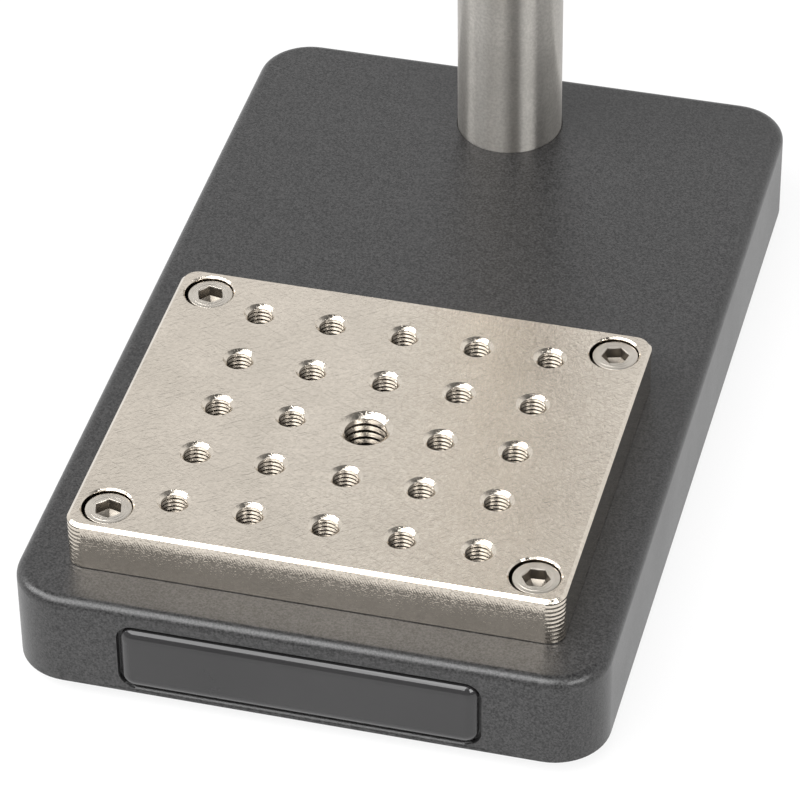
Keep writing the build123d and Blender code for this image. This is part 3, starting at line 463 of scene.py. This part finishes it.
def milling_marks(tree, parts):
    """The cutter's marks on the upright faces: scallops that slant down to the right.

    height = (2 * fraction(slanted place / pitch) - 1) squared
    """
    leaning = math(tree, "MULTIPLY", parts["Z"], milling_slant)
    slanted = math(tree, "ADD", math(tree, "ADD", parts["X"], parts["Y"]), leaning)
    fraction = math(tree, "FRACT", math(tree, "DIVIDE", slanted, milling_pitch))
    return math(tree, "POWER", math(tree, "MULTIPLY_ADD", fraction, 2.0, -1.0), 2.0)


def nickel_tone(tree, skin, scratches, deep):
    """Warm nickel with slow clouds, darker specks and scratches, and painted shade on the threads deep in
    the holes.
    """
    tone = blend_colours(tree, skin["Cloud"], (0.65, 0.59, 0.51), (0.76, 0.69, 0.60))
    tone = blend_colours(tree, math(tree, "MULTIPLY", skin["Speckle"], 0.36), tone, (0.50, 0.45, 0.39))
    tone = blend_colours(tree, math(tree, "MULTIPLY", scratches, 0.16), tone, (0.42, 0.38, 0.33))
    # painted shade: past the mouths' lips the threads are darkened towards dark brown, as shade inside the
    # holes
    return blend_colours(tree, math(tree, "MULTIPLY", deep, 0.92), tone, (0.19, 0.165, 0.135))


def nickel_plate(name):
    """Nickel plated steel: warm, mottled and lightly scratched on top, milled aslant on the sides."""
    material, tree, shader, place = new_material(name)
    skin = use_group(tree, grain_group, Vector=place, Grain=1500.0, Cloud=70.0)
    scratches = use_group(tree, scratch_group, Vector=place, Across=2600.0, Length=260.0)["Scratches"]
    edges = use_group(tree, edge_group, Radius=0.08 * mm)
    parts = add_node(tree, "ShaderNodeSeparateXYZ", {0: place}).outputs
    inside, deep = hole_masks(tree, parts)
    tree.links.new(nickel_tone(tree, skin, scratches, deep), shader.inputs["Base Color"])
    upright = add_node(tree, "ShaderNodeNewGeometry").outputs["Normal"]
    level = math(tree, "ABSOLUTE", add_node(tree, "ShaderNodeSeparateXYZ", {0: upright}).outputs["Z"])
    on_top = span(tree, level, 0.75, 0.95, 0.0, 1.0)
    rough_top = span(tree, skin["Cloud"], 0.0, 1.0, 0.15, 0.22)
    rough_side = math(tree, "MULTIPLY_ADD", deep, 0.18, 0.06)
    rough = math(tree, "MULTIPLY_ADD", math(tree, "SUBTRACT", rough_top, rough_side), on_top, rough_side)
    tree.links.new(rough, shader.inputs["Roughness"])
    shader.inputs["Metallic"].default_value = 1.0
    peel_sizes = {"Vector": place, "Scale": 1150.0, "Detail": 2.0, "Roughness": 0.55, "Distortion": 1.4}
    peel = add_node(tree, "ShaderNodeTexNoise", peel_sizes).outputs["Fac"]
    outer = math(tree, "MULTIPLY", math(tree, "SUBTRACT", 1.0, on_top), math(tree, "SUBTRACT", 1.0, inside))
    milled = math(tree, "MULTIPLY", milling_marks(tree, parts), outer)
    mottled = math(tree, "MULTIPLY", peel, on_top)
    height = math(tree, "MULTIPLY_ADD", milled, 0.06, mottled)
    height = math(tree, "MULTIPLY_ADD", skin["Height"], 0.25, height)
    height = math(tree, "SUBTRACT", height, math(tree, "MULTIPLY", scratches, 0.2))
    set_bump(tree, shader, height, 0.06 * mm, edges["Normal"])
    return material


def screw_metal(name):
    """Plated screws: turned rings on top, with painted shade deep in the hexagon sockets."""
    material, tree, shader, place = new_material(name)
    skin = use_group(tree, grain_group, Vector=place, Grain=2200.0, Cloud=300.0)
    edges = use_group(tree, edge_group, Radius=0.08 * mm)
    height = add_node(tree, "ShaderNodeSeparateXYZ", {0: place}).outputs["Z"]
    deep = span(tree, math(tree, "SUBTRACT", screws_high.z, height), 0.06 * mm, 0.24 * mm, 0.0, 1.0)
    tone = blend_colours(tree, skin["Cloud"], (0.54, 0.50, 0.445), (0.68, 0.635, 0.57))
    # painted shade: below the head's top the socket is darkened towards dark brown, as shade inside the
    # recess
    tone = blend_colours(tree, math(tree, "MULTIPLY", deep, 0.85), tone, (0.17, 0.15, 0.125))
    tree.links.new(tone, shader.inputs["Base Color"])
    tree.links.new(math(tree, "MULTIPLY_ADD", deep, 0.1, 0.3), shader.inputs["Roughness"])
    shader.inputs["Metallic"].default_value = 1.0
    set_bump(tree, shader, skin["Height"], 0.008 * mm, edges["Normal"])
    return material


def column_metal(name):
    """A bar ground round its girth: its gloss is drawn out along the bar, with fine specks."""
    material, tree, shader, place = new_material(name)
    skin = use_group(tree, grain_group, Vector=place, Grain=1900.0, Cloud=90.0)
    edges = use_group(tree, edge_group, Radius=0.15 * mm)
    tone = blend_colours(tree, skin["Cloud"], (0.44, 0.42, 0.39), (0.52, 0.50, 0.465))
    tone = blend_colours(tree, math(tree, "MULTIPLY", skin["Speckle"], 0.5), tone, (0.30, 0.285, 0.265))
    tree.links.new(tone, shader.inputs["Base Color"])
    shader.inputs["Metallic"].default_value = 1.0
    shader.inputs["Roughness"].default_value = 0.36
    shader.inputs["Anisotropic"].default_value = 0.98
    shader.inputs["Anisotropic Rotation"].default_value = 0.25
    ring = add_node(tree, "ShaderNodeTangent", direction_type="RADIAL", axis="Z").outputs["Tangent"]
    tree.links.new(ring, shader.inputs["Tangent"])
    set_bump(tree, shader, skin["Height"], 0.004 * mm, edges["Normal"])
    return material


def moulded(name, colour, roughness, grain=1400.0, depth=0.02 * mm):
    """Moulded plastic or rubber: an even tone with a fine moulded texture."""
    material, tree, shader, place = new_material(name)
    skin = use_group(tree, grain_group, Vector=place, Grain=grain, Cloud=50.0)
    edges = use_group(tree, edge_group, Radius=0.3 * mm)
    paler = tuple(part * 1.5 for part in colour)
    tree.links.new(blend_colours(tree, skin["Speckle"], colour, paler), shader.inputs["Base Color"])
    rough = span(tree, skin["Cloud"], 0.0, 1.0, roughness - 0.04, roughness + 0.05)
    tree.links.new(rough, shader.inputs["Roughness"])
    set_bump(tree, shader, skin["Height"], depth, edges["Normal"])
    return material


def glossy(name, colour, roughness):
    """A polished dark surface with faint clouds and scratches."""
    material, tree, shader, place = new_material(name)
    marks = use_group(tree, scratch_group, Vector=place, Across=1800.0, Length=120.0)
    skin = use_group(tree, grain_group, Vector=place, Grain=900.0, Cloud=40.0)
    paler = tuple(part * 1.25 for part in colour)
    tree.links.new(blend_colours(tree, skin["Cloud"], colour, paler), shader.inputs["Base Color"])
    rough = math(tree, "MULTIPLY_ADD", marks["Scratches"], 0.08, roughness)
    tree.links.new(rough, shader.inputs["Roughness"])
    return material


materials = {
    "base_black": anodised(
        "base_black", (0.001, 0.001, 0.0012), (0.036, 0.0352, 0.0354), 0.33, 2900.0, 0.03 * mm
    ),
    "head_black": anodised(
        "head_black", (0.004, 0.004, 0.0043), (0.034, 0.034, 0.034), 0.30, 2600.0, 0.02 * mm
    ),
    "plate_black": anodised(
        "plate_black", (0.010, 0.010, 0.0105), (0.028, 0.028, 0.028), 0.28, 2600.0, 0.025 * mm
    ),
    "plate_steel": nickel_plate("plate_steel"),
    "column_steel": column_metal("column_steel"),
    "slide_steel": ground_steel(
        "slide_steel", (0.58, 0.57, 0.55), (0.46, 0.45, 0.43), 0.28, (3600.0, 3600.0, 60.0), 0.006 * mm
    ),
    "rack_steel": ground_steel(
        "rack_steel", (0.42, 0.415, 0.405), (0.28, 0.275, 0.265), 0.34, (60.0, 3000.0, 3000.0), 0.006 * mm
    ),
    "screw_steel": screw_metal("screw_steel"),
    "screw_black": moulded("screw_black", (0.022, 0.022, 0.024), 0.42, 2600.0, 0.012 * mm),
    "badge_gloss": glossy("badge_gloss", (0.018, 0.0176, 0.018), 0.04),
    "black_plastic": moulded("black_plastic", (0.018, 0.018, 0.019), 0.48),
    "ball_gloss": glossy("ball_gloss", (0.010, 0.010, 0.011), 0.18),
    "foot_rubber": moulded("foot_rubber", (0.022, 0.022, 0.022), 0.75, 900.0, 0.04 * mm),
    "nylon": moulded("nylon", (0.62, 0.58, 0.50), 0.45),
    "fibre": moulded("fibre", (0.22, 0.055, 0.035), 0.7, 1800.0, 0.03 * mm),
    "bronze": ground_steel(
        "bronze", (0.62, 0.42, 0.21), (0.45, 0.29, 0.14), 0.32, (2500.0, 60.0, 60.0), 0.008 * mm
    ),
}


# Specimen plate

def thread_wall(x, y, low, high, major_r, crest_r, pitch, mouth_r, steps):
    """The wall of a right-hand threaded hole between two conical mouths.

    Rows follow the helix: height = lip + pitch * (1 + angle / turn - phase), held between the two
    lips where the cones end. The radius goes between crest_r and major_r with the phase, and is
    crest_r at the lips.
    """
    lip = high - mouth_slope * (mouth_r - crest_r)
    foot_lip = low + (major_r + foot_mouth - crest_r)
    # One turn of the thread's outline: how far down the pitch, and how deep towards major_r
    phases = np.array([0.0, 0.22, 0.36, 0.5, 0.62, 0.80])
    depths = np.array([0.0, 0.0, 0.5, 1.0, 1.0, 0.5])
    turns = int(np.ceil((lip - foot_lip) / pitch)) + 2
    phase = (np.arange(turns)[:, None] + phases[None, :]).ravel()[:, None]
    depth = np.tile(depths, turns)[:, None]
    angle = np.linspace(0, turn, steps + 1)[None, :]
    height = lip + pitch * (1 + angle / turn - phase)
    between = (height < lip) & (height > foot_lip)
    radius = crest_r + (major_r - crest_r) * depth * between
    height = np.clip(height, foot_lip, lip)
    whole = np.ones_like(angle)
    rim = high - mouth_rim / 3
    above = [(mouth_r + mouth_rim) * whole, mouth_r * whole]
    radius = np.concatenate([*above, radius, (major_r + foot_mouth) * whole])
    height = np.concatenate([high * whole, rim * whole, height, low * whole])
    points = np.stack([x + radius * np.cos(angle), y + radius * np.sin(angle), height], axis=-1)
    return points.reshape(-1, 3), grid_faces(len(height), steps + 1, closed=False)


def plate_wall(outline, along, mask):
    """The plate's outer wall: a profile of bevel, upright face and foot carried round the outline.

    Down each corner the wall is drawn in by ridge depth * corner mask * |sine of the height|, which
    leaves sharp level ridges between shallow scallops.
    """
    rows = 8 * corner_ridges + 1
    rise = np.linspace(plate_low.z + plate_foot_break, plate_top - plate_bevel, rows)
    share = np.linspace(0, corner_ridges * np.pi, rows)
    scallop = corner_ridge_depth * np.abs(np.sin(share))
    drawn_in = np.concatenate([[plate_foot_break], np.zeros(rows), [plate_bevel]])
    heights = np.concatenate([[plate_low.z], rise, [plate_top]])
    ridges = np.concatenate([[0.0], scallop, [0.0]])
    inward = drawn_in[:, None] + ridges[:, None] * np.clip(mask * 3, 0, 1)[None, :]
    flat = outline[None, :, :] - inward[:, :, None] * along[None, :, :]
    level = np.broadcast_to(heights[:, None, None], (*flat.shape[:2], 1))
    points = np.concatenate([flat, level], axis=-1)
    return points.reshape(-1, 3), grid_faces(len(heights), len(outline))


def make_plate():
    """Specimen plate with a square grid of threaded holes round a larger centre hole."""
    grid_steps, centre_steps, bore_steps = 48, 72, 72
    outline, along, mask = rounded_outline(plate_width, plate_depth, plate_corner_r, 14)
    patches = [plate_wall(outline, along, mask)]
    places = (np.arange(grid_count) - (grid_count - 1) / 2) * grid_pitch
    top_holes = []
    foot_holes = []
    for x in places:
        for y in places:
            middle = x == 0 and y == 0
            major_r = centre_hole_r if middle else grid_hole_r
            crest_r = centre_crest_r if middle else grid_crest_r
            mouth_r = centre_mouth_r if middle else grid_mouth_r
            pitch = centre_thread_pitch if middle else grid_thread_pitch
            steps = centre_steps if middle else grid_steps
            wall = thread_wall(x, y, plate_low.z, plate_top, major_r, crest_r, pitch, mouth_r, steps)
            patches.append(wall)
            top_holes.append(circle_at(x, y, mouth_r + mouth_rim, steps))
            foot_holes.append(circle_at(x, y, major_r + foot_mouth, steps))
    seat = screws_high.z - screw_head_height
    bore = [
        (counterbore_r + counterbore_bevel, plate_top, 0),
        (counterbore_r, plate_top - counterbore_bevel, 0),
        (counterbore_r, seat, 0),
        (screw_hole_r, seat, 0),
        (screw_hole_r, plate_low.z, 0),
    ]
    for x, y in bore_places:
        patches.append(moved(lathe(bore, bore_steps), x, y, 0))
        top_holes.append(circle_at(x, y, counterbore_r + counterbore_bevel, bore_steps))
        foot_holes.append(circle_at(x, y, screw_hole_r, bore_steps))
    patches.append(flat_face(outline - plate_bevel * along, top_holes, plate_top))
    patches.append(flat_face(outline - plate_foot_break * along, foot_holes, plate_low.z))
    make_piece(
        "threaded_specimen_plate", patches, materials["plate_steel"], "base",
        ["specimen_plate"], 25.0,
    )


make_plate()


# Plate screws

def make_plate_screws():
    """Socket head screws: turned head with a hexagon socket drilled to a point, and a plain shank."""
    key_r = screw_key / 2
    end = screws_low.z - screws_high.z
    # From the drill's point up the socket, over the head and down the shank
    stations = [
        (0.0, -screw_key_depth - 0.9 * mm, 1),
        (0.55 * key_r, -screw_key_depth - 0.5 * mm, 0.4),
        (key_r * 0.90, -screw_key_depth, 1),
        (key_r, -screw_key_depth + 0.18 * mm, 1),
        (key_r, -0.2 * mm, 1),
        (key_r * 1.05, -0.02 * mm, 0.9),
        (key_r * 1.07, 0.0, 0.85),
        (key_r * 1.30, 0.0, 0),
        (key_r * 1.33, -0.03 * mm, 0),
        (key_r * 1.37, -0.03 * mm, 0),
        (key_r * 1.40, 0.0, 0),
        (screw_head_r * 0.80, 0.0, 0),
        (screw_head_r * 0.815, -0.04 * mm, 0),
        (screw_head_r * 0.84, -0.04 * mm, 0),
        (screw_head_r - 0.22 * mm, -0.01 * mm, 0),
        (screw_head_r - 0.08 * mm, -0.06 * mm, 0),
        (screw_head_r, -0.2 * mm, 0),
        (screw_head_r, -screw_head_height + 0.15 * mm, 0),
        (screw_head_r - 0.15 * mm, -screw_head_height, 0),
        (screw_shank_r, -screw_head_height, 0),
        (screw_shank_r, end + 0.3 * mm, 0),
        (screw_shank_r - 0.3 * mm, end, 0),
        (0.0, end, 0),
    ]
    patches = [
        moved(lathe(stations, 96, socket_turn), x, y, screws_high.z)
        for (x, y), socket_turn in zip(screw_places, screw_turns)
    ]
    make_piece(
        "socket_head_screws", patches, materials["screw_steel"], "base",
        ["plate_screws"], 25.0,
    )


make_plate_screws()


# Badge

def make_badge():
    """A domed badge: rounded rectangles drawn in from the edge while the face rises.

    At tilt t, drawn in = roll_r * (sin(edge tilt) - sin t) and rise = roll_r * (cos t - cos(edge tilt)).
    """
    width = badge_high.x - badge_low.x
    height = badge_high.z - badge_low.z
    middle_z = (badge_high.z + badge_low.z) / 2
    tilt = np.linspace(badge_edge_tilt, 0, 16)
    inset = badge_roll_r * (np.sin(badge_edge_tilt) - np.sin(tilt))
    rise = badge_roll_r * (np.cos(tilt) - np.cos(badge_edge_tilt))
    edge_y = badge_low.y + rise[-1]
    draws = np.concatenate([[0.0], inset])
    lifts = np.concatenate([[edge_y - badge_high.y], rise])
    rings = []
    for draw, lift in zip(draws, lifts):
        radius = max(badge_corner_r - draw, 0.3 * mm)
        outline, _, _ = rounded_outline(width - 2 * draw, height - 2 * draw, radius, 12)
        level = np.full(len(outline), edge_y - lift)
        rings.append(np.column_stack([outline[:, 0], level, outline[:, 1] + middle_z]))
    wall = np.concatenate(rings), grid_faces(len(rings), len(rings[0]))
    faces = []
    for ring in (rings[0], rings[-1]):
        flat, cut = flat_face(ring[:, [0, 2]], [], 0.0)
        faces.append((np.column_stack([flat[:, 0], np.full(len(flat), ring[0, 1]), flat[:, 1]]), cut))
    make_piece(
        "domed_badge", [wall, *faces], materials["badge_gloss"], "base",
        ["badge"], 40.0,
    )


make_badge()


# Column

def make_column():
    """Ground bar with a bevel at each end."""
    radius = (column_high.x - column_low.x) / 2
    stations = [
        (0.0, column_low.z, 0),
        (radius - column_bevel, column_low.z, 0),
        (radius, column_low.z + column_bevel, 0),
        (radius, column_high.z - column_bevel, 0),
        (radius - column_bevel, column_high.z, 0),
        (0.0, column_high.z, 0),
    ]
    bar = moved(lathe(stations, 128), 0, (column_low.y + column_high.y) / 2, 0)
    make_piece(
        "ground_column", [bar], materials["column_steel"], "base",
        ["column"], 25.0,
    )


make_column()


# Every other piece is its CAD node, welded and smoothly shaded

made_by_hand = {"specimen_plate", "plate_screws", "badge", "column"}
for node in body_of:
    if node not in made_by_hand:
        dress(node, materials[slot_of[node]])


# Camera, as the photograph was taken

focal_length_px = 4459.0
frame_px = 800
camera_azimuth = 15.011
camera_elevation = 39.006
camera_roll = 0.756
camera_distance = 741.95 * mm
aim = Vector((3.66 * mm, 8.483 * mm, plate_top))

camera_data = bpy.data.cameras.new("camera")
camera_data.sensor_width = 36.0
camera_data.lens = focal_length_px * camera_data.sensor_width / frame_px
camera = bpy.data.objects.new("camera", camera_data)
bpy.context.scene.collection.objects.link(camera)
look = (
    Matrix.Rotation(radians(camera_azimuth), 4, "Z")
    @ Matrix.Rotation(radians(90 - camera_elevation), 4, "X")
    @ Matrix.Rotation(radians(-camera_roll), 4, "Z")
)
back = look.to_3x3() @ Vector((0, 0, 1))
camera.matrix_world = Matrix.Translation(aim + camera_distance * back) @ look
bpy.context.scene.camera = camera


# Studio: floor, world and soft lights

lamp_target = Vector((0.0, 0.0, 0.03))
lamp_distance = 1.3


def add_lamp(name, azimuth, elevation, width, height, watts):
    """A soft box that faces the plate; azimuth 0 is in front and 90 to the right."""
    lamp_data = bpy.data.lights.new(name, "AREA")
    lamp_data.shape = "RECTANGLE"
    lamp_data.size = width
    lamp_data.size_y = height
    lamp_data.energy = watts
    lamp = bpy.data.objects.new(name, lamp_data)
    bpy.context.scene.collection.objects.link(lamp)
    a, e = radians(azimuth), radians(elevation)
    away = Vector((np.sin(a) * np.cos(e), -np.cos(a) * np.cos(e), np.sin(e)))
    lamp.rotation_mode = "QUATERNION"
    lamp.rotation_quaternion = away.to_track_quat("Z", "Y")
    lamp.location = lamp_target + away * lamp_distance
    lamp.visible_camera = False


add_lamp("front left soft box", -33, 54, 1.32, 0.92, 22)
add_lamp("overhead front soft box", 12, 59, 0.84, 0.6, 2.6)
add_lamp("low right soft box", 55, 30, 0.66, 0.55, 9)
add_lamp("left strip", -82, 38, 0.35, 0.9, 8)


def make_floor():
    """A plain pale floor that stays white to the camera and in reflections but keeps soft shadows."""
    half = 6.0
    white_share = 0.85         # of its look to the camera; the rest takes light and shadow
    corners = [(-half, -half, 0), (half, -half, 0), (half, half, 0), (-half, half, 0)]
    mesh = bpy.data.meshes.new("floor")
    mesh.from_pydata(corners, [], [(0, 1, 2, 3)])
    floor = bpy.data.objects.new("floor", mesh)
    bpy.context.scene.collection.objects.link(floor)
    material = bpy.data.materials.new("floor")
    material.use_nodes = True
    tree = material.node_tree
    tree.nodes.clear()
    path = add_node(tree, "ShaderNodeLightPath").outputs
    seen = math(tree, "MAXIMUM", path["Is Camera Ray"], path["Is Glossy Ray"])
    seen = math(tree, "MAXIMUM", seen, path["Is Transmission Ray"])
    matt = add_node(tree, "ShaderNodeBsdfDiffuse", {"Color": (0.86, 0.86, 0.86, 1)}).outputs["BSDF"]
    glow = {"Color": (1, 1, 1, 1), "Strength": 1.0}
    white = add_node(tree, "ShaderNodeEmission", glow).outputs["Emission"]
    share = math(tree, "MULTIPLY", seen, white_share)
    mixed = add_node(tree, "ShaderNodeMixShader", {0: share, 1: matt, 2: white}).outputs[0]
    add_node(tree, "ShaderNodeOutputMaterial", {"Surface": mixed})
    mesh.materials.append(material)


def make_world():
    """White to the camera and grey as fill light; reflections go from white behind to dark in front."""
    world = bpy.data.worlds.new("studio")
    bpy.context.scene.world = world
    world.use_nodes = True
    tree = world.node_tree
    tree.nodes.clear()
    path = add_node(tree, "ShaderNodeLightPath").outputs
    way = add_node(tree, "ShaderNodeTexCoord").outputs["Generated"]
    part = add_node(tree, "ShaderNodeSeparateXYZ", {0: way}).outputs
    fill, front, overhead = 0.55, 0.22, 0.3
    behind = span(tree, part["Y"], -0.35, 0.25, front, 1.0)
    low = span(tree, part["Z"], 0.66, 0.86, 1.0, overhead)
    above_fill = math(tree, "SUBTRACT", math(tree, "MULTIPLY", behind, low), fill)
    level = math(tree, "MULTIPLY_ADD", path["Is Glossy Ray"], above_fill, fill)
    clear = math(tree, "MAXIMUM", path["Is Camera Ray"], path["Is Transmission Ray"])
    level = math(tree, "MULTIPLY_ADD", clear, math(tree, "SUBTRACT", 1.0, level), level)
    sky = {"Color": (1, 1, 1, 1), "Strength": level}
    light = add_node(tree, "ShaderNodeBackground", sky).outputs["Background"]
    add_node(tree, "ShaderNodeOutputWorld", {"Surface": light})


make_floor()
make_world()
bpy.context.scene.view_settings.view_transform = "Standard"
